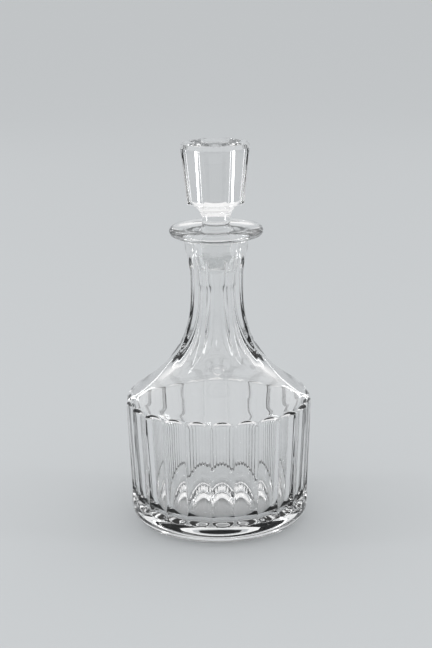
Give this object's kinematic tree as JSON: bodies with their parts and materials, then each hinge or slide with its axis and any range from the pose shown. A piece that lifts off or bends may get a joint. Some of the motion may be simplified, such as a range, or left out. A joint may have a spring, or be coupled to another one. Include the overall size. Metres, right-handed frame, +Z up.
{
  "type": "stoppered glass carafe",
  "caption": "Clear cut glass carafe with upright flutes round its body and neck, a flat round lip and a faceted solid glass stopper that lifts out of the neck.",
  "frame": {"origin": "middle of the plane that the bottle stands on, on the bottle's axis", "axes": "+Z up along the bottle's axis towards the stopper, -Y towards the pictured front"},
  "size_m": [0.1192, 0.1192, 0.2465],
  "materials": {
    "bottle_glass": "clear blown glass, wheel cut and polished",
    "stopper_glass": "clear solid glass, cut and polished, with a finely ground peg"
  },
  "bodies": {
    "bottle": {"bottle": "bottle_glass"},
    "stopper": {"stopper": "stopper_glass"}
  },
  "joints": [
    {"name": "stopper_lift", "type": "slide", "parent": "bottle", "child": "stopper", "axis": [0, 0, 1], "range_m": [0, 0.06]}
  ]
}
